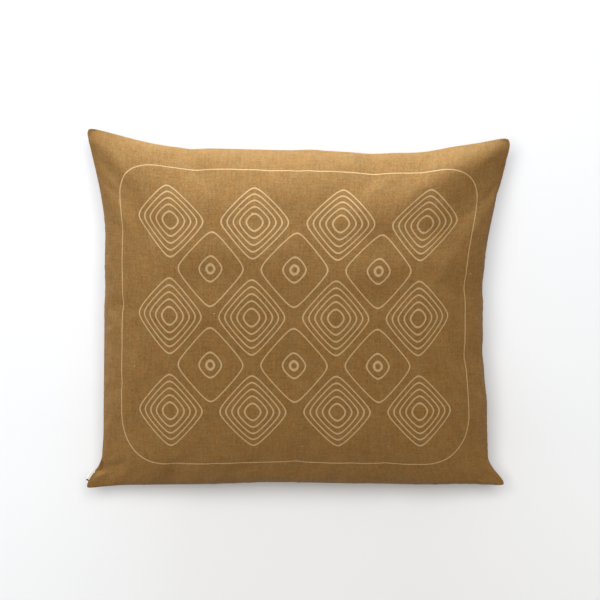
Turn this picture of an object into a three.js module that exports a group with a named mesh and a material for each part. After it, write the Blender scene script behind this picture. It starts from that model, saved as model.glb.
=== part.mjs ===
// A filled cushion cover of plain-woven linen, lying on its back with its face up.
// It is sewn from a front panel and a back panel in a knife-edge seam, with a small folded label in the left seam.
// Sizes are millimetres. X runs along the wide sides, Y to the cover's top edge, Z up from the surface that it lies on.
import * as THREE from "three";
import { mergeGeometries, mergeVertices } from "three/addons/utils/BufferGeometryUtils.js";

// Where the sewn corners stand once the cover is filled, and how far their tips are rounded back
const CORNERS = {
  bottomLeft: { x: -297.4, y: -251, z: 50, rounding: 1.5 },
  bottomRight: { x: 289, y: -247, z: 52, rounding: 3 },
  topRight: { x: 296.5, y: 239.8, z: 60, rounding: 5.5 },
  topLeft: { x: -296.8, y: 254, z: 56, rounding: 4.5 },
};
const ROUNDING_REACH = 2.8; // how far along the seam a tip's rounding starts, in times that rounding

// How each side draws in: its depths are near its first corner, midway and near its last corner.
// The ears at its two ends reach so far along it, and over 1 their shape leaves the tip more gently than a sine.
// Its seam is lifted above the line between the corners.
const SIDES = {
  bottom: {
    ends: ["bottomLeft", "bottomRight"],
    inward: [0, 1],
    depths: [4, 4.5, 2.5],
    ears: [{ reach: 60, shape: 1.25 }, { reach: 60, shape: 1.25 }],
    lift: 2,
  },
  top: {
    ends: ["topLeft", "topRight"],
    inward: [0, -1],
    depths: [25, 25.5, 25],
    ears: [{ reach: 145, shape: 1.25 }, { reach: 150, shape: 1.25 }],
    lift: 5,
  },
  left: {
    ends: ["bottomLeft", "topLeft"],
    inward: [1, 0],
    depths: [23.6, 26, 25],
    ears: [{ reach: 50, shape: 1.9 }, { reach: 147, shape: 1.25 }],
    lift: 12,
  },
  right: {
    ends: ["bottomRight", "topRight"],
    inward: [-1, 0],
    depths: [24, 36, 33],
    ears: [{ reach: 42, shape: 1.5 }, { reach: 200, shape: 1.25 }],
    lift: 8,
  },
};

// Small waves in the seam: where along the side, how deep (outwards if negative) and how wide
const SEAM_WAVES = [
  { side: "top", at: 0.25, depth: 1.8, width: 14 },
  { side: "top", at: 0.53, depth: -1.6, width: 20 },
  { side: "top", at: 0.67, depth: 2.4, width: 26 },
  { side: "top", at: 0.86, depth: -2.4, width: 32 },
  { side: "right", at: 0.24, depth: -1.8, width: 26 },
  { side: "right", at: 0.385, depth: 1.6, width: 13 },
  { side: "right", at: 0.57, depth: 1.8, width: 12 },
  { side: "right", at: 0.83, depth: 1.6, width: 12 },
  { side: "left", at: 0.1, depth: -1.6, width: 14 },
  { side: "left", at: 0.56, depth: 1.4, width: 26 },
  { side: "left", at: 0.7, depth: 1.6, width: 34 },
  { side: "bottom", at: 0.45, depth: 2.4, width: 60 },
  { side: "bottom", at: 0.8, depth: -1.2, width: 40 },
];
const WAVE_FADE = 45; // how far a wave is felt into the panel

// The filling's crown on each face, above and below the seam
const CROWNS = { front: 84, back: 78 };
const SHOULDER_POWER = 2.4; // higher is flatter in the middle
const SHOULDER_ROUND = 0.58; // lower is steeper at the seam
const EAR_FLATTEN = 0.5; // the share of its height that an ear loses where the filling doesn't reach
const EAR_FLAT_REACH = 62;
const GROUND_BLEND = 6; // the rounding where the back leaves the surface

// The patch that the back bears on, between these grid lines, and the slope by which the back rises beyond it
const REST_PATCH = { columns: [20, 32], rows: [15, 25], rise: 0.01 };

// Soft folds: where each starts and ends, in shares of the width and the height, how wide it is, and what share of
// the crown there it takes away, or adds if negative
const FOLDS = [
  { face: "front", from: [0.985, 0.92], to: [0.87, 0.74], width: 26, depth: 0.32 },
  { face: "front", from: [0.93, 0.985], to: [0.78, 0.87], width: 24, depth: -0.16 },
  { face: "front", from: [0.02, 0.92], to: [0.12, 0.74], width: 26, depth: 0.14 },
  { face: "front", from: [0.0, 0.055], to: [0.06, 0.07], width: 9, depth: 0.4 },
  { face: "front", from: [0.03, 0.12], to: [0.13, 0.2], width: 22, depth: 0.12 },
  { face: "front", from: [0.985, 0.09], to: [0.88, 0.16], width: 20, depth: 0.16 },
  { face: "front", from: [1.0, 0.385], to: [0.93, 0.37], width: 12, depth: 0.16 },
  { face: "front", from: [1.0, 0.57], to: [0.92, 0.58], width: 12, depth: 0.18 },
  { face: "front", from: [0.67, 1.0], to: [0.68, 0.93], width: 15, depth: 0.14 },
  { face: "front", from: [0.25, 1.0], to: [0.27, 0.92], width: 14, depth: 0.12 },
  { face: "front", from: [0.2, 0.0], to: [0.22, 0.06], width: 22, depth: 0.14 },
  { face: "front", from: [0.74, 0.0], to: [0.72, 0.06], width: 24, depth: 0.12 },
  { face: "back", from: [0.03, 0.06], to: [0.13, 0.16], width: 24, depth: 0.14 },
  { face: "back", from: [0.97, 0.06], to: [0.87, 0.16], width: 24, depth: 0.14 },
  { face: "back", from: [0.97, 0.94], to: [0.87, 0.84], width: 26, depth: 0.16 },
  { face: "back", from: [0.03, 0.94], to: [0.14, 0.84], width: 26, depth: 0.14 },
  { face: "back", from: [0.5, 1.0], to: [0.49, 0.9], width: 18, depth: 0.14 },
  { face: "back", from: [1.0, 0.45], to: [0.92, 0.46], width: 14, depth: 0.16 },
  { face: "back", from: [0.0, 0.52], to: [0.08, 0.5], width: 16, depth: 0.14 },
];
const FOLD_FADE = 0.6; // the share of its depth that a fold has lost where it ends

// The uneven filling: broad swells of each face, with their waves across the width and the height
const SWELLS = [
  { face: "front", waves: [1.3, 0.8], phase: 0.7, depth: 0.018 },
  { face: "front", waves: [2.1, 1.7], phase: 2.4, depth: 0.012 },
  { face: "back", waves: [1.6, 1.2], phase: 1.1, depth: 0.02 },
];

// The small label folded in the left seam, near the bottom corner
const LABEL = { from: 0.02, to: 0.048, proud: 4.5, thick: 1.6, gap: 0.75 };

// The grid of each panel, finer towards the seam
const COLUMNS = 52;
const ROWS = 44;
const EDGE_FINENESS = 0.5; // 0 is an even grid, 1 is finest at the seam

const LINEN = new THREE.MeshStandardMaterial({ name: "linen", color: 0x8c683b, roughness: 0.92, metalness: 0 });
const LABEL_TAPE = new THREE.MeshStandardMaterial({ name: "label_tape", color: 0xe9e2d6, roughness: 0.85, metalness: 0 });

const mix = (a, b, share) => a + (b - a) * share;
const smooth = (share) => share * share * (3 - 2 * share);
const bell = (distance, width) => Math.exp(-((distance / width) ** 2));

// How deep a side draws in between its ears
function depthAlong(depths, along) {
  if (along < 0.5) return mix(depths[0], depths[1], smooth(along * 2));
  return mix(depths[1], depths[2], smooth(along * 2 - 1));
}

// How far an ear has let the side draw in, from 0 at its tip to 1 where it ends
function earShare(distance, ear) {
  return Math.sin((Math.PI / 2) * Math.min(distance / ear.reach, 1)) ** ear.shape;
}

// A point of the seam on one side, without its small waves
function seamPoint(name, along) {
  const side = SIDES[name];
  const first = CORNERS[side.ends[0]];
  const last = CORNERS[side.ends[1]];
  const length = Math.hypot(last.x - first.x, last.y - first.y);
  const fromFirst = along * length;
  const fromLast = (1 - along) * length;
  const depth = depthAlong(side.depths, along);
  const drawn = depth * earShare(fromFirst, side.ears[0]) * earShare(fromLast, side.ears[1]);
  const point = new THREE.Vector3(
    mix(first.x, last.x, along) + side.inward[0] * drawn,
    mix(first.y, last.y, along) + side.inward[1] * drawn,
    mix(first.z, last.z, along) + side.lift * Math.sin(Math.PI * along),
  );
  for (const [corner, away] of [[first, fromFirst], [last, fromLast]]) {
    const nearTip = Math.max(1 - away / (corner.rounding * ROUNDING_REACH), 0);
    const pull = (corner.rounding * nearTip ** 2) / Math.hypot(corner.x, corner.y);
    point.x -= corner.x * pull;
    point.y -= corner.y * pull;
  }
  return point;
}

// The sheet that the seam spans, as a patch blended from its four sides
function midPoint(across, up) {
  const sum = new THREE.Vector3();
  const add = (point, share) => sum.addScaledVector(point, share);
  add(seamPoint("bottom", across), 1 - up);
  add(seamPoint("top", across), up);
  add(seamPoint("left", up), 1 - across);
  add(seamPoint("right", up), across);
  add(seamPoint("bottom", 0), -(1 - across) * (1 - up));
  add(seamPoint("bottom", 1), -across * (1 - up));
  add(seamPoint("top", 0), -(1 - across) * up);
  add(seamPoint("top", 1), -across * up);
  return sum;
}

const WIDTH = CORNERS.topRight.x - CORNERS.topLeft.x;
const HEIGHT = CORNERS.topLeft.y - CORNERS.bottomLeft.y;

// Moves a point of the patch by the seam's small waves, which fade into the panel
function addSeamWaves(point, across, up) {
  const shares = {
    bottom: { along: across, inside: up * HEIGHT, length: WIDTH },
    top: { along: across, inside: (1 - up) * HEIGHT, length: WIDTH },
    left: { along: up, inside: across * WIDTH, length: HEIGHT },
    right: { along: up, inside: (1 - across) * WIDTH, length: HEIGHT },
  };
  for (const wave of SEAM_WAVES) {
    const { along, inside, length } = shares[wave.side];
    const drawn = wave.depth * bell((along - wave.at) * length, wave.width) * Math.exp(-inside / WAVE_FADE);
    point.x += SIDES[wave.side].inward[0] * drawn;
    point.y += SIDES[wave.side].inward[1] * drawn;
  }
}

// How near a point of the panel is to a fold's line, from 0 to 1
function foldShare(fold, across, up) {
  const start = new THREE.Vector2(fold.from[0] * WIDTH, fold.from[1] * HEIGHT);
  const run = new THREE.Vector2(fold.to[0] * WIDTH, fold.to[1] * HEIGHT).sub(start);
  const here = new THREE.Vector2(across * WIDTH, up * HEIGHT).sub(start);
  const along = THREE.MathUtils.clamp(here.dot(run) / run.lengthSq(), 0, 1);
  const away = here.sub(run.multiplyScalar(along)).length();
  return bell(away, fold.width) * (1 - FOLD_FADE * along);
}

const shoulder = (share) => (1 - Math.abs(2 * share - 1) ** SHOULDER_POWER) ** SHOULDER_ROUND;

// How far a face stands off the seam's sheet
function crownHeight(face, across, up) {
  const toSide = Math.min(across, 1 - across) * WIDTH;
  const toEnd = Math.min(up, 1 - up) * HEIGHT;
  const ear = 1 - EAR_FLATTEN * bell(Math.hypot(toSide, toEnd), EAR_FLAT_REACH);
  let share = shoulder(across) * shoulder(up) * ear;
  for (const fold of FOLDS) {
    if (fold.face === face) share *= 1 - fold.depth * foldShare(fold, across, up);
  }
  for (const swell of SWELLS) {
    const turn = 2 * Math.PI * (swell.waves[0] * across + swell.waves[1] * up) + swell.phase;
    if (swell.face === face) share *= 1 + swell.depth * Math.sin(turn);
  }
  return CROWNS[face] * share;
}

// Lays a height on the surface: nothing goes below it, and the back leaves it in a small curve
function onGround(height) {
  if (height >= GROUND_BLEND) return height;
  if (height <= -GROUND_BLEND) return 0;
  return (height + GROUND_BLEND) ** 2 / (4 * GROUND_BLEND);
}

// Grid lines crowd towards the seam, where the cloth turns fastest
const gridShare = (share) => mix(share, (1 - Math.cos(Math.PI * share)) / 2, EDGE_FINENESS);

function seamSheetPoint(across, up) {
  const point = midPoint(across, up);
  addSeamWaves(point, across, up);
  return point;
}

const PATCH_CORNERS = [[0, 0], [1, 0], [1, 1], [0, 1]].map(([column, row]) => {
  const across = gridShare(REST_PATCH.columns[column] / COLUMNS);
  return seamSheetPoint(across, gridShare(REST_PATCH.rows[row] / ROWS));
});

// How far a point lies outside the patch that the back bears on, seen from above
function outsidePatch(point) {
  let outside = 0;
  PATCH_CORNERS.forEach((corner, i) => {
    const next = PATCH_CORNERS[(i + 1) % PATCH_CORNERS.length];
    const run = new THREE.Vector2(next.x - corner.x, next.y - corner.y).normalize();
    outside = Math.max(outside, (point.x - corner.x) * run.y - (point.y - corner.y) * run.x);
  });
  return outside;
}

function panelPoint(face, across, up) {
  const point = seamSheetPoint(across, up);
  const height = crownHeight(face, across, up);
  if (face === "front") point.z += height;
  else point.z = Math.max(onGround(point.z - height), REST_PATCH.rise * outsidePatch(point));
  return point;
}

function panelGeometry(face) {
  const panel = new THREE.PlaneGeometry(1, 1, COLUMNS, ROWS);
  const places = panel.getAttribute("position");
  for (let i = 0; i < places.count; i += 1) {
    const across = gridShare(THREE.MathUtils.clamp(places.getX(i) + 0.5, 0, 1));
    const up = gridShare(THREE.MathUtils.clamp(places.getY(i) + 0.5, 0, 1));
    const point = panelPoint(face, across, up);
    places.setXYZ(i, point.x, point.y, point.z);
  }
  if (face === "back") panel.index.array.reverse();
  panel.deleteAttribute("normal");
  panel.deleteAttribute("uv");
  return panel;
}

// The two panels sewn into one closed form
function filledCover() {
  const sewn = mergeVertices(mergeGeometries([panelGeometry("front"), panelGeometry("back")]), 1e-3);
  sewn.computeVertexNormals();
  const mesh = new THREE.Mesh(sewn, LINEN);
  mesh.name = "filled_cover";
  return mesh;
}

// A short tape folded over, whose cut ends are caught in the seam
function sideLabel() {
  const first = panelPoint("front", 0, LABEL.from);
  const last = panelPoint("front", 0, LABEL.to);
  const run = new THREE.Vector3().subVectors(last, first);
  const half = LABEL.thick / 2;
  const folded = new THREE.Shape();
  folded.moveTo(0, -half);
  folded.lineTo(LABEL.proud - half, -half);
  folded.absarc(LABEL.proud - half, 0, half, -Math.PI / 2, Math.PI / 2);
  folded.lineTo(0, half);
  folded.closePath();
  const tape = new THREE.ExtrudeGeometry(folded, { depth: run.length(), bevelEnabled: false, curveSegments: 6 });
  const mesh = new THREE.Mesh(tape, LABEL_TAPE);
  mesh.name = "side_label";
  const along = run.normalize();
  const outward = new THREE.Vector3(-along.y, along.x, 0).normalize();
  const upward = new THREE.Vector3().crossVectors(along, outward);
  mesh.applyMatrix4(new THREE.Matrix4().makeBasis(outward, upward, along));
  mesh.position.copy(first).addScaledVector(outward, LABEL.gap);
  return mesh;
}

const cushion = new THREE.Group();
cushion.name = "cushion_cover";
cushion.add(filledCover(), sideLabel());

// The origin is under the middle of the whole, on the surface
const box = new THREE.Box3().setFromObject(cushion, true);
const middle = box.getCenter(new THREE.Vector3());
cushion.position.set(-middle.x, -middle.y, -box.min.z);

export default cushion;
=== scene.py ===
# A filled linen cushion cover, printed with fine lines, lying on its back and seen from straight above
import math

import bpy
import numpy as np
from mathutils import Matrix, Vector


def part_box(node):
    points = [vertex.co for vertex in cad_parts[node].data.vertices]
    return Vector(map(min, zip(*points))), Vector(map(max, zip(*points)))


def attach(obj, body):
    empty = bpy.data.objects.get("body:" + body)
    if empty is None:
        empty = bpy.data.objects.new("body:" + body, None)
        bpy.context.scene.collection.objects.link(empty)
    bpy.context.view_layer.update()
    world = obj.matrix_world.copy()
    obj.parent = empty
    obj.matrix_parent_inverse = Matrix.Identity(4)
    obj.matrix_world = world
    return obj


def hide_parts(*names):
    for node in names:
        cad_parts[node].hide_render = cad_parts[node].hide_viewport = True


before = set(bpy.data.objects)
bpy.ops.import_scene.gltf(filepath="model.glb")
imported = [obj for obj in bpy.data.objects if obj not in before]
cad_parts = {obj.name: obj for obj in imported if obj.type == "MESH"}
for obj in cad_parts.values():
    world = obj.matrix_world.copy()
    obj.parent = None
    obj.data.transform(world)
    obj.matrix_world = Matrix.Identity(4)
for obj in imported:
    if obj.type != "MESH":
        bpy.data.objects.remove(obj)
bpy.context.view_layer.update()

MM = 0.001

# Where the sewn corners stand once the cover is filled, and how far their tips are rounded back
CORNERS = {
    "bottom_left": {"at": (-297.4, -251, 50), "rounding": 1.5},
    "bottom_right": {"at": (289, -247, 52), "rounding": 3},
    "top_right": {"at": (296.5, 239.8, 60), "rounding": 5.5},
    "top_left": {"at": (-296.8, 254, 56), "rounding": 4.5},
}
ROUNDING_REACH = 2.8

# How each side draws in: its depths are near its first corner, midway and near its last corner.
# The ears at its two ends have a reach along it and a shape.
# Its seam is lifted above the line between the corners.
SIDES = {
    "bottom": {"ends": ("bottom_left", "bottom_right"), "inward": (0, 1), "depths": (4, 4.5, 2.5),
               "ears": ((60, 1.25), (60, 1.25)), "lift": 2},
    "top": {"ends": ("top_left", "top_right"), "inward": (0, -1), "depths": (25, 25.5, 25),
            "ears": ((145, 1.25), (150, 1.25)), "lift": 5},
    "left": {"ends": ("bottom_left", "top_left"), "inward": (1, 0), "depths": (23.6, 26, 25),
             "ears": ((50, 1.9), (147, 1.25)), "lift": 12},
    "right": {"ends": ("bottom_right", "top_right"), "inward": (-1, 0), "depths": (24, 36, 33),
              "ears": ((42, 1.5), (200, 1.25)), "lift": 8},
}

# Small waves in the seam: the side, where along it, how deep (outwards if negative) and how wide
SEAM_WAVES = [
    {"side": "top", "at": 0.25, "depth": 1.8, "width": 14},
    {"side": "top", "at": 0.53, "depth": -1.6, "width": 20},
    {"side": "top", "at": 0.67, "depth": 2.4, "width": 26},
    {"side": "top", "at": 0.86, "depth": -2.4, "width": 32},
    {"side": "right", "at": 0.24, "depth": -1.8, "width": 26},
    {"side": "right", "at": 0.385, "depth": 1.6, "width": 13},
    {"side": "right", "at": 0.57, "depth": 1.8, "width": 12},
    {"side": "right", "at": 0.83, "depth": 1.6, "width": 12},
    {"side": "left", "at": 0.1, "depth": -1.6, "width": 14},
    {"side": "left", "at": 0.56, "depth": 1.4, "width": 26},
    {"side": "left", "at": 0.7, "depth": 1.6, "width": 34},
    {"side": "bottom", "at": 0.45, "depth": 2.4, "width": 60},
    {"side": "bottom", "at": 0.8, "depth": -1.2, "width": 40},
]
WAVE_FADE = 45

# The crown of each face before the filling swells it, above and below the seam
CROWNS = {"front": 77, "back": 65}
SHOULDER_POWER = 2.4
SHOULDER_ROUND = 0.58
EAR_FLATTEN = 0.5
EAR_FLAT_REACH = 62
GROUND_BLEND = 6

# Soft folds: from where to where in shares of the width and the height, how wide, and what share of the crown
# there each takes away, or adds if negative
FOLDS = [
    {"face": "front", "from": (0.985, 0.92), "to": (0.87, 0.74), "width": 26, "depth": 0.32},
    {"face": "front", "from": (0.93, 0.985), "to": (0.78, 0.87), "width": 24, "depth": -0.16},
    {"face": "front", "from": (0.02, 0.92), "to": (0.12, 0.74), "width": 26, "depth": 0.14},
    {"face": "front", "from": (0.0, 0.055), "to": (0.06, 0.07), "width": 9, "depth": 0.4},
    {"face": "front", "from": (0.03, 0.12), "to": (0.13, 0.2), "width": 22, "depth": 0.12},
    {"face": "front", "from": (0.985, 0.09), "to": (0.88, 0.16), "width": 20, "depth": 0.16},
    {"face": "front", "from": (1.0, 0.385), "to": (0.93, 0.37), "width": 12, "depth": 0.16},
    {"face": "front", "from": (1.0, 0.57), "to": (0.92, 0.58), "width": 12, "depth": 0.18},
    {"face": "front", "from": (0.67, 1.0), "to": (0.68, 0.93), "width": 15, "depth": 0.14},
    {"face": "front", "from": (0.25, 1.0), "to": (0.27, 0.92), "width": 14, "depth": 0.12},
    {"face": "front", "from": (0.2, 0.0), "to": (0.22, 0.06), "width": 22, "depth": 0.14},
    {"face": "front", "from": (0.74, 0.0), "to": (0.72, 0.06), "width": 24, "depth": 0.12},
    {"face": "back", "from": (0.03, 0.06), "to": (0.13, 0.16), "width": 24, "depth": 0.14},
    {"face": "back", "from": (0.97, 0.06), "to": (0.87, 0.16), "width": 24, "depth": 0.14},
    {"face": "back", "from": (0.97, 0.94), "to": (0.87, 0.84), "width": 26, "depth": 0.16},
    {"face": "back", "from": (0.03, 0.94), "to": (0.14, 0.84), "width": 26, "depth": 0.14},
    {"face": "back", "from": (0.5, 1.0), "to": (0.49, 0.9), "width": 18, "depth": 0.14},
    {"face": "back", "from": (1.0, 0.45), "to": (0.92, 0.46), "width": 14, "depth": 0.16},
    {"face": "back", "from": (0.0, 0.52), "to": (0.08, 0.5), "width": 16, "depth": 0.14},
]
FOLD_FADE = 0.6

# The uneven filling: broad swells of each face
SWELLS = [
    {"face": "front", "waves": (1.3, 0.8), "phase": 0.7, "depth": 0.018},
    {"face": "front", "waves": (2.1, 1.7), "phase": 2.4, "depth": 0.012},
    {"face": "back", "waves": (1.6, 1.2), "phase": 1.1, "depth": 0.02},
]

# The cut of each panel between its seams
CUT = {"width": 600, "height": 510}
BACK_PANEL_SHIFT = 1000

# How many cells each panel has across and up before it is subdivided, and how much finer they are at the seam
COLUMNS = 110
ROWS = 94
EDGE_FINENESS = 0.6

# The ease sewn into each side, as a share of the most that the cloth near the seam is let out
EASES = {"bottom": 0.5, "top": 0.5, "left": 0.4, "right": 0.9}
EASE_REACH = 45
LET_OUT = {"middle": 0.006, "seam": 0.045}
FILLING_PRESSURE = 8
FILLING_STEPS = 16

WIDTH = CORNERS["top_right"]["at"][0] - CORNERS["top_left"]["at"][0]
HEIGHT = CORNERS["top_left"]["at"][1] - CORNERS["bottom_left"]["at"][1]


def bell(distance, width):
    return np.exp(-((distance / width) ** 2))


def smooth(share):
    share = np.clip(share, 0, 1)
    return share * share * (3 - 2 * share)


def mix(first, last, share):
    return first + (last - first) * share


def ear_share(distance, ear):
    """How far an ear has let its side draw in, from 0 at the tip to 1 where it ends."""
    reach, shape = ear
    return np.sin(math.pi / 2 * np.minimum(distance / reach, 1)) ** shape


def seam_line(name, along):
    """Points of the seam on one side, in millimetres, without its small waves."""
    side = SIDES[name]
    first, last = (CORNERS[end] for end in side["ends"])
    start, stop = np.array(first["at"], float), np.array(last["at"], float)
    length = math.dist(start[:2], stop[:2])
    near, midway, far = side["depths"]
    first_half = mix(near, midway, smooth(along * 2))
    last_half = mix(midway, far, smooth(along * 2 - 1))
    drawn = np.where(along < 0.5, first_half, last_half)
    first_ear, last_ear = side["ears"]
    drawn = drawn * ear_share(along * length, first_ear) * ear_share((1 - along) * length, last_ear)
    points = start + (stop - start) * along[..., None]
    points[..., 0] += side["inward"][0] * drawn
    points[..., 1] += side["inward"][1] * drawn
    points[..., 2] += side["lift"] * np.sin(math.pi * along)
    for corner, away in ((first, along * length), (last, (1 - along) * length)):
        x, y, _ = corner["at"]
        near_tip = np.maximum(1 - away / (corner["rounding"] * ROUNDING_REACH), 0)
        pull = corner["rounding"] * near_tip**2 / math.hypot(x, y)
        points[..., 0] -= x * pull
        points[..., 1] -= y * pull
    return points


def seam_sheet(across, up):
    """The sheet that the seam spans, blended from its four sides."""
    right, top = across[..., None], up[..., None]
    left, bottom = 1 - right, 1 - top
    ends = {name: seam_line(name, np.array([0.0, 1.0])) for name in ("bottom", "top")}
    return (
        seam_line("bottom", across) * bottom
        + seam_line("top", across) * top
        + seam_line("left", up) * left
        + seam_line("right", up) * right
        - ends["bottom"][0] * left * bottom
        - ends["bottom"][1] * right * bottom
        - ends["top"][0] * left * top
        - ends["top"][1] * right * top
    )


def place_on_sides(across, up):
    """For each side: how far along it a point lies, how far inside it, and the side's length."""
    return {
        "bottom": (across, up * HEIGHT, WIDTH),
        "top": (across, (1 - up) * HEIGHT, WIDTH),
        "left": (up, across * WIDTH, HEIGHT),
        "right": (up, (1 - across) * WIDTH, HEIGHT),
    }


def add_seam_waves(points, across, up):
    sides = place_on_sides(across, up)
    for wave in SEAM_WAVES:
        along, inside, length = sides[wave["side"]]
        here = bell((along - wave["at"]) * length, wave["width"])
        drawn = wave["depth"] * here * np.exp(-inside / WAVE_FADE)
        points[..., 0] += SIDES[wave["side"]]["inward"][0] * drawn
        points[..., 1] += SIDES[wave["side"]]["inward"][1] * drawn


def fold_share(fold, across, up):
    """How near a point is to a fold's line, from 0 to 1."""
    scale = np.array([WIDTH, HEIGHT])
    start = np.array(fold["from"]) * scale
    run = np.array(fold["to"]) * scale - start
    here = np.stack([across * WIDTH, up * HEIGHT], -1) - start
    along = np.clip(here @ run / (run @ run), 0, 1)
    away = np.linalg.norm(here - along[..., None] * run, axis=-1)
    return bell(away, fold["width"]) * (1 - FOLD_FADE * along)


def shoulder(share):
    return (1 - np.abs(2 * share - 1) ** SHOULDER_POWER).clip(0, 1) ** SHOULDER_ROUND


def crown_height(face, across, up):
    """How far a face stands off the seam's sheet, in millimetres."""
    to_side = np.minimum(across, 1 - across) * WIDTH
    to_end = np.minimum(up, 1 - up) * HEIGHT
    ear = bell(np.hypot(to_side, to_end), EAR_FLAT_REACH)
    share = shoulder(across) * shoulder(up) * (1 - EAR_FLATTEN * ear)
    for fold in FOLDS:
        if fold["face"] == face:
            share = share * (1 - fold["depth"] * fold_share(fold, across, up))
    for swell in SWELLS:
        if swell["face"] == face:
            turn = 2 * math.pi * (swell["waves"][0] * across + swell["waves"][1] * up) + swell["phase"]
            share = share * (1 + swell["depth"] * np.sin(turn))
    return CROWNS[face] * share


def cover_points(face, across, up):
    """Points of one filled face, in millimetres, before the surface under it flattens the back."""
    points = seam_sheet(across, up)
    add_seam_waves(points, across, up)
    points[..., 2] += crown_height(face, across, up) * (1 if face == "front" else -1)
    return points


def on_ground(height):
    """Nothing goes below the surface, and the back leaves it in a small curve."""
    curve = (height + GROUND_BLEND) ** 2 / (4 * GROUND_BLEND)
    return np.where(height >= GROUND_BLEND, height, np.where(height <= -GROUND_BLEND, 0, curve))


def grid_share(share):
    return mix(share, (1 - np.cos(math.pi * share)) / 2, EDGE_FINENESS)


def arc_share(points):
    """How far along its own curve each point of a line lies, from 0 to 1."""
    steps = np.linalg.norm(np.diff(points, axis=0), axis=1)
    travelled = np.concatenate([[0], np.cumsum(steps)])
    return travelled / travelled[-1]


def origin_shift():
    """From the tables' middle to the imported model's origin, in millimetres."""
    along = np.linspace(0, 1, 400)
    rows = []
    for name in SIDES:
        across, up = {
            "bottom": (along, along * 0),
            "top": (along, along * 0 + 1),
            "left": (along * 0, along),
            "right": (along * 0 + 1, along),
        }[name]
        rows.append(cover_points("front", across, up))
    seam = np.concatenate(rows)
    low, high = (np.array(corner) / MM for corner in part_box("filled_cover"))
    shift = (low + high) / 2 - (seam.min(axis=0) + seam.max(axis=0)) / 2
    return np.array([shift[0], shift[1], 0])


SHIFT = origin_shift()


def deselect_all():
    if bpy.context.object and bpy.context.object.mode != "OBJECT":
        bpy.ops.object.mode_set(mode="OBJECT")
    bpy.ops.object.select_all(action="DESELECT")


def make_active(piece):
    deselect_all()
    piece.select_set(True)
    bpy.context.view_layer.objects.active = piece


def positions(piece):
    flat = np.empty(len(piece.data.vertices) * 3)
    piece.data.vertices.foreach_get("co", flat)
    return flat.reshape(-1, 3)


def set_positions(piece, points):
    piece.data.vertices.foreach_set("co", np.ascontiguousarray(points).ravel())
    piece.data.update()


def store_on_points(piece, name, values):
    attribute = piece.data.attributes.get(name) or piece.data.attributes.new(name, "FLOAT", "POINT")
    attribute.data.foreach_set("value", values.astype(np.float32))


def read_on_points(piece, name):
    values = np.empty(len(piece.data.vertices), np.float32)
    piece.data.attributes[name].data.foreach_get("value", values)
    return values.astype(float)


def panel(face):
    """One panel, shaped to the filled cover, with its flat cut as a UV map in metres."""
    deselect_all()
    bpy.ops.mesh.primitive_grid_add(x_subdivisions=COLUMNS, y_subdivisions=ROWS, size=1)
    piece = bpy.context.object
    piece.name = f"{face}_panel"
    flat = positions(piece)
    across = grid_share(np.clip(flat[:, 0] + 0.5, 0, 1))
    up = grid_share(np.clip(flat[:, 1] + 0.5, 0, 1))
    set_positions(piece, (cover_points(face, across, up) + SHIFT) * MM)
    store_on_points(piece, "across", across)
    store_on_points(piece, "up", up)

    even = np.linspace(0, 1, 600)
    cut_x = np.interp(across, even, arc_share(cover_points(face, even, even * 0 + 0.5))) - 0.5
    cut_y = np.interp(up, even, arc_share(cover_points(face, even * 0 + 0.5, even))) - 0.5
    cut = np.stack([cut_x * CUT["width"], cut_y * CUT["height"]], -1)
    if face == "back":
        cut[:, 1] += BACK_PANEL_SHIFT
    corners = np.empty(len(piece.data.loops), int)
    piece.data.loops.foreach_get("vertex_index", corners)
    uv_map = piece.data.uv_layers[0]
    uv_map.name = "cut_pattern"
    uv_map.data.foreach_set("uv", (cut[corners] * MM).ravel())
    if face == "back":
        bpy.ops.object.mode_set(mode="EDIT")
        bpy.ops.mesh.select_all(action="SELECT")
        bpy.ops.mesh.flip_normals()
        bpy.ops.object.mode_set(mode="OBJECT")
    return piece


def sew_panels():
    """The front and back panels sewn together round the edge."""
    front, back = panel("front"), panel("back")
    make_active(front)
    back.select_set(True)
    bpy.ops.object.join()
    bpy.ops.object.mode_set(mode="EDIT")
    bpy.ops.mesh.select_all(action="SELECT")
    bpy.ops.mesh.remove_doubles(threshold=0.01 * MM)
    bpy.ops.object.mode_set(mode="OBJECT")
    front.name = "linen_cover"
    return front


def weigh(piece, name, weights):
    group = piece.vertex_groups.new(name=name)
    for index in np.flatnonzero(weights > 0):
        group.add([int(index)], float(weights[index]), "REPLACE")


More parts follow.
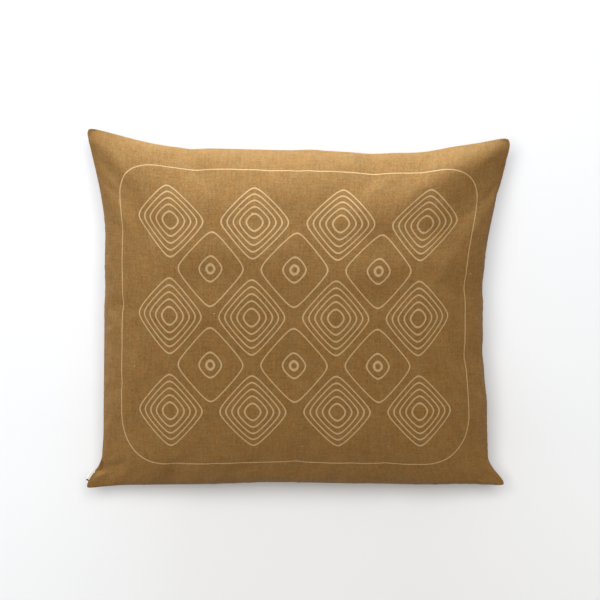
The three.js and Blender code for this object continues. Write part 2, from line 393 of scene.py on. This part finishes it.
def fill(piece):
    """Pressure fills the sewn cover: the seam is held, and the ease beside it puckers."""
    across, up = read_on_points(piece, "across"), read_on_points(piece, "up")
    sides = place_on_sides(across, up)
    inside = np.minimum.reduce([sides[name][1] for name in SIDES])
    ease = sum(EASES[name] * bell(sides[name][1], EASE_REACH) for name in SIDES).clip(0, 1)
    weigh(piece, "seam", (inside < 0.01).astype(float))
    weigh(piece, "ease", ease)

    make_active(piece)
    bpy.ops.object.modifier_add(type="CLOTH")
    cloth = piece.modifiers[-1]
    settings = cloth.settings
    settings.quality = 6
    settings.mass = 0.02
    settings.tension_stiffness = 40
    settings.compression_stiffness = 20
    settings.shear_stiffness = 10
    settings.bending_stiffness = 2
    settings.tension_damping = 25
    settings.compression_damping = 25
    settings.shear_damping = 15
    settings.bending_damping = 1
    settings.air_damping = 4
    settings.use_pressure = True
    settings.uniform_pressure_force = FILLING_PRESSURE
    settings.vertex_group_mass = "seam"
    settings.pin_stiffness = 1
    settings.vertex_group_shrink = "ease"
    settings.shrink_min = -LET_OUT["middle"]
    settings.shrink_max = -LET_OUT["seam"]
    settings.effector_weights.gravity = 0
    cloth.collision_settings.use_collision = False
    cloth.point_cache.frame_start = 1
    cloth.point_cache.frame_end = FILLING_STEPS

    scene = bpy.context.scene
    for step in range(1, FILLING_STEPS + 1):
        scene.frame_set(step)
    filled = piece.evaluated_get(bpy.context.evaluated_depsgraph_get())
    points = np.empty(len(piece.data.vertices) * 3)
    filled.data.vertices.foreach_get("co", points)
    piece.modifiers.remove(cloth)
    piece.vertex_groups.clear()
    scene.frame_set(1)
    set_positions(piece, points.reshape(-1, 3))


# How much higher the filling stands the cloth up beside each seam, as a share, and how far in that is felt.
# The bottom, where the filling has settled, is fuller further in as well. The back is fuller by less,
# the ears stay flat, and the folds keep part of their depth.
FULLNESS = [
    {"side": "bottom", "share": 1.9, "reach": 8},
    {"side": "bottom", "share": 0.4, "reach": 60},
    {"side": "top", "share": 0.25, "reach": 13},
    {"side": "top", "share": 0.3, "reach": 60},
    {"side": "left", "share": 0.5, "reach": 13},
    {"side": "left", "share": 0.15, "reach": 50},
    {"side": "right", "share": 0.6, "reach": 13},
    {"side": "right", "share": 0.3, "reach": 50},
]
BACK_FULLNESS = 0.4
FLAT_EAR = 38
PRESSED_FOLDS = 0.8

# Short creases where the cloth is caught at an ear: from where to where, in shares of the width and the
# height, and how wide and how deep, in millimetres
CREASES = [
    {"from": (0.001, 0.068), "to": (0.02, 0.05), "width": 5, "depth": 13},
    {"from": (0.998, 0.93), "to": (0.965, 0.76), "width": 11, "depth": 5},
]

# Lumps of the filling, felt through the cloth away from the seams: their height, how far apart they are,
# where they are felt in full, how many waves make them up, and each face's seed
LUMPS = {"height": 0.9, "apart": 95, "from_seam": 45, "waves": 9}
LUMP_SEEDS = {"front": 3, "back": 4}


def lumps(across, up, seed):
    """Uneven filling, from seeded waves that cross each other."""
    draws = np.random.default_rng(seed)
    total = np.zeros_like(across)
    for _ in range(LUMPS["waves"]):
        turn, apart = draws.uniform(0, math.pi), LUMPS["apart"] * draws.uniform(0.7, 1.5)
        distance = across * WIDTH * math.cos(turn) + up * HEIGHT * math.sin(turn)
        total += np.sin(2 * math.pi * distance / apart + draws.uniform(0, 2 * math.pi))
    return LUMPS["height"] * total / 3


def plump(piece):
    """The filling is pushed out to the seam, and the folds stay pressed in."""
    across, up = read_on_points(piece, "across"), read_on_points(piece, "up")
    points = positions(piece)
    sheet = seam_sheet(across, up)
    add_seam_waves(sheet, across, up)
    level = sheet[:, 2] * MM
    stand = points[:, 2] - level
    sides = place_on_sides(across, up)
    fuller = sum(part["share"] * np.exp(-sides[part["side"]][1] / part["reach"]) for part in FULLNESS)
    to_side, to_end = np.minimum(across, 1 - across) * WIDTH, np.minimum(up, 1 - up) * HEIGHT
    off_ears = 1 - bell(np.hypot(to_side, to_end), FLAT_EAR)
    share = 1 + fuller * off_ears * np.where(stand > 0, 1, BACK_FULLNESS)
    for fold in FOLDS:
        face = stand > 0 if fold["face"] == "front" else stand < 0
        share *= 1 - face * PRESSED_FOLDS * fold["depth"] * fold_share(fold, across, up)
    points[:, 2] = level + stand * share
    for crease in CREASES:
        points[:, 2] -= (stand > 0) * crease["depth"] * fold_share(crease, across, up) * MM
    inside = np.minimum(to_side, to_end)
    felt = smooth(inside / LUMPS["from_seam"]) * MM
    on_front, on_back = (lumps(across, up, LUMP_SEEDS[face]) for face in ("front", "back"))
    points[:, 2] += felt * np.where(stand > 0, on_front, on_back)
    set_positions(piece, points)


def rest_on_surface(piece):
    """The back is pressed flat where it would go below the surface."""
    points = positions(piece)
    points[:, 2] = on_ground(points[:, 2] / MM) * MM
    set_positions(piece, points)


# The seam of the turned cover, in millimetres: the stitched line sinks in, the cloth beside it rolls out and
# puckers, and the puckers fade towards the line and towards its corners
SEAM = {
    "line": 0.3,
    "sunk": 0.7,
    "roll": 0.35,
    "roll_at": 1.8,
    "roll_width": 1.2,
    "pucker": 0.35,
    "pucker_reach": 9,
    "pucker_length": 11,
    "line_fade": 1.5,
    "corner_fade": 30,
}
PUCKER_WAVES = 7
PUCKER_SEED = 20


def ripple(along, wavelength, seed):
    """An uneven ripple along a line, from seeded waves of nearly the same length."""
    draws = np.random.default_rng(seed)
    total = np.zeros_like(along)
    for _ in range(PUCKER_WAVES):
        length = wavelength * draws.uniform(0.6, 1.7)
        total += draws.uniform(0.5, 1) * np.sin(2 * math.pi * along / length + draws.uniform(0, 2 * math.pi))
    return total / 3


def normals(piece):
    flat = np.empty(len(piece.data.vertices) * 3)
    piece.data.vertices.foreach_get("normal", flat)
    return flat.reshape(-1, 3)


def finish_seam(piece):
    """The seam is sunk, and the cloth beside it is rolled and puckered."""
    across, up = read_on_points(piece, "across"), read_on_points(piece, "up")
    sides = place_on_sides(across, up)
    insides = np.stack([sides[name][1] for name in SIDES])
    nearest = insides.argmin(axis=0)
    inside = insides.min(axis=0)
    points, outward = positions(piece), normals(piece)
    front = outward[:, 2] > 0

    move = SEAM["roll"] * bell(inside - SEAM["roll_at"], SEAM["roll_width"])
    for number, name in enumerate(SIDES):
        along, _, length = sides[name]
        here = (nearest == number) * SEAM["pucker"] * np.exp(-inside / SEAM["pucker_reach"])
        fade = np.minimum(along, 1 - along) * length
        here *= smooth(fade / SEAM["corner_fade"]) * smooth(inside / SEAM["line_fade"])
        waves = ripple(along * length, SEAM["pucker_length"], PUCKER_SEED + number)
        move += here * np.where(front, waves, -waves)
    points += outward * (move * MM)[:, None]

    on_seam = inside < SEAM["line"]
    middle = points.mean(axis=0)
    inward = middle - points[on_seam]
    inward[:, 2] = 0
    inward /= np.linalg.norm(inward, axis=1)[:, None]
    points[on_seam] += inward * SEAM["sunk"] * MM
    set_positions(piece, points)


def crease_seam(piece):
    """The seam stays a crisp edge, and its corners stay where they are, when the cloth is subdivided."""
    across, up = read_on_points(piece, "across"), read_on_points(piece, "up")
    on_side = (np.minimum(across, 1 - across) < 1e-6, np.minimum(up, 1 - up) < 1e-6)
    ends = np.empty(len(piece.data.edges) * 2, int)
    piece.data.edges.foreach_get("vertices", ends)
    first, last = ends.reshape(-1, 2).T
    on_seam = (on_side[0][first] & on_side[0][last]) | (on_side[1][first] & on_side[1][last])
    edges = piece.data.attributes.new("crease_edge", "FLOAT", "EDGE")
    edges.data.foreach_set("value", on_seam.astype(np.float32))
    corners = piece.data.attributes.new("crease_vert", "FLOAT", "POINT")
    corners.data.foreach_set("value", (on_side[0] & on_side[1]).astype(np.float32))


def linen_cover():
    """The sewn and filled cover, smoothed and with its seam finished."""
    piece = sew_panels()
    fill(piece)
    plump(piece)
    rest_on_surface(piece)
    crease_seam(piece)
    make_active(piece)
    bpy.ops.object.modifier_add(type="SUBSURF")
    subdivision = piece.modifiers[-1]
    subdivision.levels = subdivision.render_levels = 1
    bpy.ops.object.modifier_apply(modifier=subdivision.name)
    finish_seam(piece)
    bpy.ops.object.shade_smooth()
    return piece


# The label: where it stands in the left seam, its cut, and the dark bar of thin rings at its lower end
LABEL = {"from": 0.02, "to": 0.048, "proud": 4.0, "sunk": 1.4, "thick": 0.45, "opening": 0.9, "lean": 0.8}
DARK_BAR = {"thick": 0.45, "turns": 4, "pitch": 0.5}


def label_frame():
    """The label's first point, its run along the seam, the way out of the seam, and the way up."""
    ends = seam_line("left", np.array([LABEL["from"], LABEL["to"]]))
    add_seam_waves(ends, np.zeros(2), np.array([LABEL["from"], LABEL["to"]]))
    first, last = ((Vector(end) + Vector(SHIFT)) * MM for end in ends)
    run = last - first
    out = Vector((-run.y, run.x, 0)).normalized()
    return first, run, out, run.normalized().cross(out)


def side_label():
    """A tape folded over, its cut ends caught in the seam."""
    first, run, out, above = label_frame()
    deselect_all()
    bpy.ops.mesh.primitive_grid_add(x_subdivisions=24, y_subdivisions=16, size=1)
    piece = bpy.context.object
    piece.name = "folded_label"
    flat = positions(piece)
    along, round_fold = flat[:, 0] + 0.5, flat[:, 1] * 2
    nose = LABEL["opening"] / 2
    leg = LABEL["proud"] + LABEL["sunk"] - nose
    path = np.abs(round_fold) * (leg + nose * math.pi / 2)
    straight = np.maximum(path - nose * math.pi / 2, 0)
    turn = np.minimum(path / nose, math.pi / 2)
    reach = LABEL["proud"] - nose + nose * np.cos(turn) - straight
    rise = np.sign(round_fold) * nose * np.sin(turn)
    rise = rise * (0.55 + 0.45 * smooth(reach / LABEL["proud"] + 0.4))
    lean = LABEL["lean"] * (along - 0.4) * np.clip(reach / LABEL["proud"], 0, 1)
    points = (
        np.array(first)
        + np.outer(along, run)
        + np.outer(reach * MM, out)
        + np.outer((rise + lean) * MM, above)
    )
    set_positions(piece, points)
    make_active(piece)
    uv_map = piece.data.uv_layers[0]
    uv_map.name = "cut_pattern"
    bpy.ops.object.modifier_add(type="SOLIDIFY")
    wall = piece.modifiers[-1]
    wall.thickness = LABEL["thick"] * MM
    wall.offset = 0
    bpy.ops.object.modifier_apply(modifier=wall.name)
    bpy.ops.object.shade_smooth()
    return piece


def dark_bar():
    """A few thin dark rings round the label's lower end."""
    first, run, out, above = label_frame()
    turns = []
    for number in range(DARK_BAR["turns"]):
        place = first + run.normalized() * (0.6 + number * DARK_BAR["pitch"]) * MM
        deselect_all()
        bpy.ops.mesh.primitive_torus_add(
            major_segments=28,
            minor_segments=8,
            major_radius=1,
            minor_radius=DARK_BAR["thick"] / 2 * MM,
        )
        turn = bpy.context.object
        points = positions(turn)
        ring = np.hypot(points[:, 0], points[:, 1])
        side, length = points[:, 0] / ring, points[:, 1] / ring
        off = ring - 1
        half_out = (LABEL["proud"] + 0.5) / 2
        half_up = LABEL["opening"] / 2 + LABEL["thick"] / 2 + 0.15
        centre = np.array(place) + np.array(out) * (half_out - 0.8) * MM
        points = (
            centre
            + np.outer(side * (half_out * MM + off), out)
            + np.outer(length * (half_up * MM + off), above)
            + np.outer(points[:, 2], run.normalized())
        )
        set_positions(turn, points)
        turns.append(turn)
    make_active(turns[0])
    for turn in turns[1:]:
        turn.select_set(True)
    bpy.ops.object.join()
    piece = bpy.context.object
    piece.name = "label_dark_bar"
    bpy.ops.object.mode_set(mode="EDIT")
    bpy.ops.mesh.select_all(action="SELECT")
    bpy.ops.mesh.normals_make_consistent(inside=False)
    bpy.ops.object.mode_set(mode="OBJECT")
    bpy.ops.object.shade_smooth()
    return piece


def set_value(tree, socket, value):
    """A plain number or colour on a socket, or a link from another node's output."""
    if isinstance(value, bpy.types.NodeSocket):
        tree.links.new(value, socket)
    elif value is not None:
        socket.default_value = value


def calc(tree, operation, *values):
    node = tree.nodes.new("ShaderNodeMath")
    node.operation = operation
    for socket, value in zip(node.inputs, values):
        set_value(tree, socket, value)
    return node.outputs[0]


def remap(tree, value, low, high, new_low=0.0, new_high=1.0, soft=True):
    node = tree.nodes.new("ShaderNodeMapRange")
    node.interpolation_type = "SMOOTHSTEP" if soft else "LINEAR"
    for name, number in (("Value", value), ("From Min", low), ("From Max", high), ("To Min", new_low),
                         ("To Max", new_high)):
        set_value(tree, node.inputs[name], number)
    return node.outputs[0]


def blend_colours(tree, share, first, second):
    node = tree.nodes.new("ShaderNodeMix")
    node.data_type = "RGBA"
    set_value(tree, node.inputs["Factor"], share)
    set_value(tree, node.inputs["A"], first)
    set_value(tree, node.inputs["B"], second)
    return node.outputs["Result"]


def noise(tree, vector, scale, detail=2.0, rough=0.5):
    node = tree.nodes.new("ShaderNodeTexNoise")
    set_value(tree, node.inputs["Vector"], vector)
    set_value(tree, node.inputs["Scale"], scale)
    set_value(tree, node.inputs["Detail"], detail)
    set_value(tree, node.inputs["Roughness"], rough)
    return node


def split(tree, vector):
    node = tree.nodes.new("ShaderNodeSeparateXYZ")
    set_value(tree, node.inputs[0], vector)
    return node.outputs[0], node.outputs[1]


def join(tree, x, y, z=0.0):
    node = tree.nodes.new("ShaderNodeCombineXYZ")
    for socket, value in zip(node.inputs, (x, y, z)):
        set_value(tree, socket, value)
    return node.outputs[0]


SOCKET_KINDS = {"vector": "NodeSocketVector", "float": "NodeSocketFloat", "colour": "NodeSocketColor"}


def start_group(name, inputs, outputs):
    tree = bpy.data.node_groups.new(name, "ShaderNodeTree")
    for label, kind in inputs.items():
        tree.interface.new_socket(name=label, in_out="INPUT", socket_type=SOCKET_KINDS[kind])
    for label, kind in outputs.items():
        tree.interface.new_socket(name=label, in_out="OUTPUT", socket_type=SOCKET_KINDS[kind])
    return tree, tree.nodes.new("NodeGroupInput").outputs, tree.nodes.new("NodeGroupOutput").inputs


def place_group(tree, group, **values):
    node = tree.nodes.new("ShaderNodeGroup")
    node.node_tree = group
    for label, value in values.items():
        set_value(tree, node.inputs[label], value)
    return node.outputs


def weave_group():
    """Plain weave: threads at so many a metre each way, over and under each other in turn."""
    tree, given, result = start_group(
        "plain_weave",
        {"Cut": "vector", "Warp": "float", "Weft": "float", "Wander": "float"},
        {"Height": "float", "Over": "float"},
    )
    drift = noise(tree, given["Cut"], 90.0, 1.0).outputs["Color"]
    centred = tree.nodes.new("ShaderNodeVectorMath")
    centred.operation = "SUBTRACT"
    tree.links.new(drift, centred.inputs[0])
    centred.inputs[1].default_value = (0.5, 0.5, 0.5)
    wander = tree.nodes.new("ShaderNodeVectorMath")
    wander.operation = "MULTIPLY_ADD"
    tree.links.new(centred.outputs[0], wander.inputs[0])
    tree.links.new(join(tree, given["Wander"], given["Wander"]), wander.inputs[1])
    tree.links.new(given["Cut"], wander.inputs[2])
    x, y = split(tree, wander.outputs[0])
    warp = calc(tree, "SINE", calc(tree, "MULTIPLY", calc(tree, "MULTIPLY", x, given["Warp"]), math.pi))
    weft = calc(tree, "SINE", calc(tree, "MULTIPLY", calc(tree, "MULTIPLY", y, given["Weft"]), math.pi))
    over = calc(tree, "MULTIPLY_ADD", calc(tree, "MULTIPLY", warp, weft), 0.5, 0.5)
    warp_round, warp_share = calc(tree, "ABSOLUTE", warp), calc(tree, "MULTIPLY_ADD", over, 0.6, 0.4)
    warp_top = calc(tree, "MULTIPLY", warp_round, warp_share)
    weft_round, weft_share = calc(tree, "ABSOLUTE", weft), calc(tree, "MULTIPLY_ADD", over, -0.6, 1.0)
    weft_top = calc(tree, "MULTIPLY", weft_round, weft_share)
    tree.links.new(calc(tree, "MAXIMUM", warp_top, weft_top), result["Height"])
    tree.links.new(over, result["Over"])
    return tree


def slub_group():
    """Thick and thin yarn: long narrow streaks both ways, from 0 for thin to 1 for thick."""
    tree, given, result = start_group(
        "slub_streaks",
        {"Cut": "vector", "Across": "float", "Along": "float"},
        {"Warp": "float", "Weft": "float"},
    )
    x, y = split(tree, given["Cut"])
    for label, first, second in (("Warp", x, y), ("Weft", y, x)):
        stretched = join(
            tree,
            calc(tree, "MULTIPLY", first, given["Across"]),
            calc(tree, "MULTIPLY", second, given["Along"]),
            3.7 if label == "Warp" else 9.1,
        )
        streak = noise(tree, stretched, 1.0, 2.0, 0.6).outputs["Fac"]
        tree.links.new(remap(tree, streak, 0.32, 0.68, soft=False), result[label])
    return tree


# The print, in millimetres of the flat cut: nested lozenges with rounded corners in a trellis, plainer ones
# between them, and a border round all
PRINT = {
    "line": 1.5,
    "pitch": 6.0,
    "lozenge": (58, 62),
    "columns": 4,
    "rows": 3,
    "rounding": 7,
    "nested": {"first": 4, "lines": 5},
    "between": ({"first": 4, "lines": 1}, {"first": 25, "lines": 2}),
    "border": (250, 202),
    "border_corner": 70,
}


def line_family(tree, depth, first, count, weight):
    """Parallel lines: count of them, a pitch apart, from where depth is first."""
    steps = calc(tree, "DIVIDE", calc(tree, "SUBTRACT", depth, first * MM), PRINT["pitch"] * MM)
    nearest = calc(tree, "ROUND", calc(tree, "MAXIMUM", calc(tree, "MINIMUM", steps, count - 1.0), 0.0))
    off_line = calc(tree, "ABSOLUTE", calc(tree, "SUBTRACT", steps, nearest))
    away = calc(tree, "MULTIPLY", off_line, PRINT["pitch"])
    return remap(tree, away, calc(tree, "SUBTRACT", weight, 0.25), calc(tree, "ADD", weight, 0.25), 1.0, 0.0)


def soft_distance(tree, value, rounding):
    """A distance whose corner at zero is rounded."""
    squares = calc(tree, "MULTIPLY_ADD", value, value, rounding**2)
    return calc(tree, "SUBTRACT", calc(tree, "SQRT", squares), rounding)


def within(tree, x, y, half_width, half_height):
    inside_x = calc(tree, "LESS_THAN", calc(tree, "ABSOLUTE", x), half_width)
    inside_y = calc(tree, "LESS_THAN", calc(tree, "ABSOLUTE", y), half_height)
    return calc(tree, "MULTIPLY", inside_x, inside_y)


def print_group():
    """Where the printed lines lie on the flat front panel, from 0 to 1."""
    tree, given, result = start_group(
        "lozenge_print",
        {"Cut": "vector", "Half Line": "float"},
        {"Lines": "float"},
    )
    weight = given["Half Line"]
    wide, high = (size * MM for size in PRINT["lozenge"])
    rounding = PRINT["rounding"] * MM
    depth_of_middle = wide * high / math.hypot(wide, high)
    x, y = split(tree, given["Cut"])

    def lozenge_depth(shift_x, shift_y):
        from_x = calc(tree, "WRAP", calc(tree, "SUBTRACT", x, shift_x), wide, -wide)
        from_y = calc(tree, "WRAP", calc(tree, "SUBTRACT", y, shift_y), high, -high)
        reach = calc(
            tree,
            "ADD",
            calc(tree, "DIVIDE", soft_distance(tree, from_x, rounding), wide),
            calc(tree, "DIVIDE", soft_distance(tree, from_y, rounding), high),
        )
        edge = 1 - rounding * (1 / wide + 1 / high)
        return calc(tree, "MULTIPLY", calc(tree, "SUBTRACT", edge, reach), depth_of_middle)

    columns, rows = PRINT["columns"], PRINT["rows"]
    nested_depth = lozenge_depth(wide * (columns - 1), high * (rows - 1))
    nested = line_family(tree, nested_depth, PRINT["nested"]["first"], PRINT["nested"]["lines"], weight)
    nested = calc(tree, "MULTIPLY", nested, within(tree, x, y, wide * columns, high * rows))
    between_depth = lozenge_depth(wide * columns, high * rows)
    families = [
        line_family(tree, between_depth, part["first"], part["lines"], weight)
        for part in PRINT["between"]
    ]
    between = calc(tree, "MAXIMUM", *families)
    between = calc(tree, "MULTIPLY", between, within(tree, x, y, wide * (columns - 1), high * (rows - 1)))

    corner = PRINT["border_corner"] * MM
    past = [
        calc(tree, "SUBTRACT", calc(tree, "ABSOLUTE", value), size * MM - corner)
        for value, size in zip((x, y), PRINT["border"])
    ]
    beyond = [calc(tree, "MAXIMUM", value, 0.0) for value in past]
    squares = calc(tree, "MULTIPLY_ADD", beyond[0], beyond[0], calc(tree, "MULTIPLY", beyond[1], beyond[1]))
    flat_part = calc(tree, "MINIMUM", calc(tree, "MAXIMUM", past[0], past[1]), 0.0)
    outside = calc(tree, "SUBTRACT", calc(tree, "ADD", calc(tree, "SQRT", squares), flat_part), corner)
    border = line_family(tree, outside, 0, 1, weight)
    lozenges = calc(tree, "MAXIMUM", nested, between)
    tree.links.new(calc(tree, "MAXIMUM", border, lozenges), result["Lines"])
    return tree


def new_material(name):
    material = bpy.data.materials.new(name)
    material.use_nodes = True
    tree = material.node_tree
    return material, tree, tree.nodes["Principled BSDF"]


def cut_map(tree):
    node = tree.nodes.new("ShaderNodeUVMap")
    node.uv_map = "cut_pattern"
    return node.outputs[0]


def bump(tree, height, distance, strength, normal=None):
    node = tree.nodes.new("ShaderNodeBump")
    node.inputs["Distance"].default_value = distance
    node.inputs["Strength"].default_value = strength
    tree.links.new(height, node.inputs["Height"])
    set_value(tree, node.inputs["Normal"], normal)
    return node.outputs[0]


# Linen yarn, print, label tape and the dark bar, as colours of the cloth in even light; the dark linen and
# tape colours also give the painted shade between the threads
LINEN_DARK = (0.112, 0.054, 0.013, 1)
LINEN_LIGHT = (0.304, 0.168, 0.052, 1)
LINEN_WARM = (0.315, 0.160, 0.044, 1)
NEP_COLOUR = (0.55, 0.42, 0.24, 1)
PRINT_COLOUR = (0.56, 0.39, 0.20, 1)
TAPE_DARK = (0.66, 0.61, 0.52, 1)
TAPE_LIGHT = (0.90, 0.87, 0.80, 1)
# Near black, for the dark bar of rings at the label's lower end
BAR_DARK = (0.02, 0.013, 0.008, 1)
BAR_LIGHT = (0.07, 0.05, 0.035, 1)

# Threads to the metre in the linen and in the tape, and how far they wander in metres
LINEN_THREADS = {"Warp": 1650.0, "Weft": 1500.0, "Wander": 0.0009}
TAPE_THREADS = {"Warp": 3600.0, "Weft": 3200.0, "Wander": 0.0002}

# The linen's slubs: how many to the metre across and along the yarn
FINE_SLUBS = {"Across": 760.0, "Along": 300.0}
BROAD_SLUBS = {"Across": 420.0, "Along": 45.0}


def linen(weave, slubs, printed):
    material, tree, shader = new_material("printed_linen")
    cut = cut_map(tree)
    threads = place_group(tree, weave, Cut=cut, **LINEN_THREADS)
    fine = place_group(tree, slubs, Cut=cut, **FINE_SLUBS)
    broad = place_group(tree, slubs, Cut=cut, **BROAD_SLUBS)
    mottle = noise(tree, cut, 42.0, 3.0, 0.6).outputs["Fac"]

    tone_and_weave_shade = calc(tree, "MULTIPLY_ADD", fine["Warp"], 0.28, calc(tree, "MULTIPLY", fine["Weft"], 0.28))
    tone_and_weave_shade = calc(tree, "MULTIPLY_ADD", broad["Warp"], 0.16, tone_and_weave_shade)
    tone_and_weave_shade = calc(tree, "MULTIPLY_ADD", broad["Weft"], 0.18, tone_and_weave_shade)
    # The weave's height lightens the thread tops and darkens the gaps between them: painted shade between the
    # threads
    tone_and_weave_shade = calc(tree, "MULTIPLY_ADD", threads["Height"], 0.14, tone_and_weave_shade)
    tone_and_weave_shade = calc(tree, "MULTIPLY_ADD", mottle, 0.26, calc(tree, "SUBTRACT", tone_and_weave_shade, 0.12))
    warmth = remap(tree, noise(tree, cut, 60.0, 2.0).outputs["Fac"], 0.35, 0.65)
    light = blend_colours(tree, warmth, LINEN_LIGHT, LINEN_WARM)
    cloth = blend_colours(tree, tone_and_weave_shade, LINEN_DARK, light)

    speck = tree.nodes.new("ShaderNodeTexVoronoi")
    tree.links.new(cut, speck.inputs["Vector"])
    speck.inputs["Scale"].default_value = 55.0
    nep = remap(tree, speck.outputs["Distance"], 0.025, 0.055, 1.0, 0.0)
    chosen = calc(tree, "GREATER_THAN", noise(tree, cut, 21.0, 0.0).outputs["Fac"], 0.6)
    cloth = blend_colours(tree, calc(tree, "MULTIPLY", nep, chosen), cloth, NEP_COLOUR)

    lines = place_group(tree, printed, Cut=cut, **{"Half Line": PRINT["line"] / 2})["Lines"]
    hold = calc(tree, "MULTIPLY_ADD", threads["Height"], 0.35, 0.34)
    hold = calc(tree, "MULTIPLY_ADD", fine["Weft"], 0.24, hold)
    ink = calc(tree, "MULTIPLY", lines, hold)
    surface = blend_colours(tree, ink, cloth, PRINT_COLOUR)
    tree.links.new(surface, shader.inputs["Base Color"])

    rough = remap(tree, tone_and_weave_shade, 0.2, 0.8, 0.96, 0.84)
    tree.links.new(rough, shader.inputs["Roughness"])
    shader.inputs["Specular IOR Level"].default_value = 0.16
    shader.inputs["Sheen Weight"].default_value = 0.06
    shader.inputs["Sheen Roughness"].default_value = 0.45
    shader.inputs["Sheen Tint"].default_value = (1, 0.78, 0.5, 1)
    relief = calc(tree, "MULTIPLY_ADD", fine["Warp"], 0.5, calc(tree, "MULTIPLY", fine["Weft"], 0.5))
    relief = calc(tree, "MULTIPLY_ADD", threads["Height"], 0.8, relief)
    tree.links.new(bump(tree, relief, 0.25 * MM, 0.9), shader.inputs["Normal"])
    return material


def label_tape(weave):
    material, tree, shader = new_material("label_tape")
    coordinates = tree.nodes.new("ShaderNodeTexCoord").outputs["Object"]
    threads = place_group(tree, weave, Cut=coordinates, **TAPE_THREADS)
    soil = noise(tree, coordinates, 240.0, 2.0).outputs["Fac"]
    # The weave's height darkens the tape between its threads, which is painted shade; the soil noise is
    # uneven tone of the tape itself
    tone_and_weave_shade = calc(tree, "MULTIPLY_ADD", threads["Height"], 0.5, calc(tree, "MULTIPLY", soil, 0.5))
    tree.links.new(blend_colours(tree, tone_and_weave_shade, TAPE_DARK, TAPE_LIGHT), shader.inputs["Base Color"])
    shader.inputs["Roughness"].default_value = 0.82
    tree.links.new(bump(tree, threads["Height"], 0.1 * MM, 0.8), shader.inputs["Normal"])
    return material


def dark_bar_finish():
    material, tree, shader = new_material("dark_bar_finish")
    coordinates = tree.nodes.new("ShaderNodeTexCoord").outputs["Object"]
    bar_mottle = noise(tree, coordinates, 2600.0, 1.0).outputs["Fac"]
    tree.links.new(blend_colours(tree, bar_mottle, BAR_DARK, BAR_LIGHT), shader.inputs["Base Color"])
    shader.inputs["Roughness"].default_value = 0.7
    tree.links.new(bump(tree, bar_mottle, 0.05 * MM, 0.7), shader.inputs["Normal"])
    return material


def give(piece, material):
    piece.data.materials.clear()
    piece.data.materials.append(material)


# The view: the photograph's width in pixels, the millimetres of one pixel at the seam's height, the pixel
# over the origin, the lens and the sensor's width
VIEW = {
    "pixels": 600,
    "mm_per_pixel": 1.394,
    "centre": (296.8, 308.5),
    "lens": 100,
    "sensor": 36,
    "seam_height": 60,
}

# The lights: where each stands and points, its size in metres, its power in watts and its tint
LIGHTS = [
    {"name": "overhead", "place": (-0.2, 0.5, 2.95), "target": (0, 0, 0),
     "size": (2.2, 1.6), "power": 80},
    {"name": "window", "place": (-0.15, 2.15, 0.17), "target": (0, 0.1, 0.06),
     "size": (1.3, 0.3), "power": 106, "tint": (0.88, 1, 1.16)},
    {"name": "left_fill", "place": (-2.3, -0.3, 0.4), "target": (0, 0, 0.06),
     "size": (1.2, 0.6), "power": 20},
    {"name": "right_fill", "place": (2.2, -0.8, 0.5), "target": (0, 0, 0.06),
     "size": (1.2, 0.6), "power": 9, "tint": (1, 0.85, 0.6)},
]


def photo_camera():
    span = VIEW["pixels"] * VIEW["mm_per_pixel"]
    distance = span * VIEW["lens"] / VIEW["sensor"] + VIEW["seam_height"]
    x = (VIEW["pixels"] / 2 - VIEW["centre"][0]) * VIEW["mm_per_pixel"]
    y = (VIEW["centre"][1] - VIEW["pixels"] / 2) * VIEW["mm_per_pixel"]
    deselect_all()
    bpy.ops.object.camera_add(location=(x * MM, y * MM, distance * MM), rotation=(0, 0, 0))
    camera = bpy.context.object
    camera.name = "photo_camera"
    camera.data.lens = VIEW["lens"]
    camera.data.sensor_width = VIEW["sensor"]
    bpy.context.scene.camera = camera


def soft_light(name, place, target, size, power, tint=(1, 1, 1)):
    deselect_all()
    bpy.ops.object.light_add(type="AREA", location=place)
    light = bpy.context.object
    light.name = name
    light.data.shape = "RECTANGLE"
    light.data.size, light.data.size_y = size
    light.data.energy = power
    light.data.color = tint
    light.rotation_euler = (Vector(target) - Vector(place)).to_track_quat("-Z", "Y").to_euler()


def studio():
    """A pale floor, an even world and the lights."""
    deselect_all()
    bpy.ops.mesh.primitive_plane_add(size=12, location=(0, 0, 0))
    floor = bpy.context.object
    floor.name = "pale_floor"
    material, tree, shader = new_material("pale_floor")
    shader.inputs["Base Color"].default_value = (0.82, 0.82, 0.82, 1)
    shader.inputs["Roughness"].default_value = 0.9
    give(floor, material)

    world = bpy.data.worlds.new("studio")
    bpy.context.scene.world = world
    world.use_nodes = True
    background = world.node_tree.nodes["Background"]
    background.inputs["Color"].default_value = (1, 1, 1, 1)
    background.inputs["Strength"].default_value = 0.2
    for light in LIGHTS:
        soft_light(**light)
    scene = bpy.context.scene
    scene.view_settings.view_transform = "Standard"
    scene.view_settings.look = "None"


photo_camera()
cover = linen_cover()
label = side_label()
bar = dark_bar()

weave = weave_group()
give(cover, linen(weave, slub_group(), print_group()))
give(label, label_tape(weave))
give(bar, dark_bar_finish())
studio()

for piece in (cover, label, bar):
    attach(piece, "root")
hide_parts("filled_cover")
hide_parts("side_label")
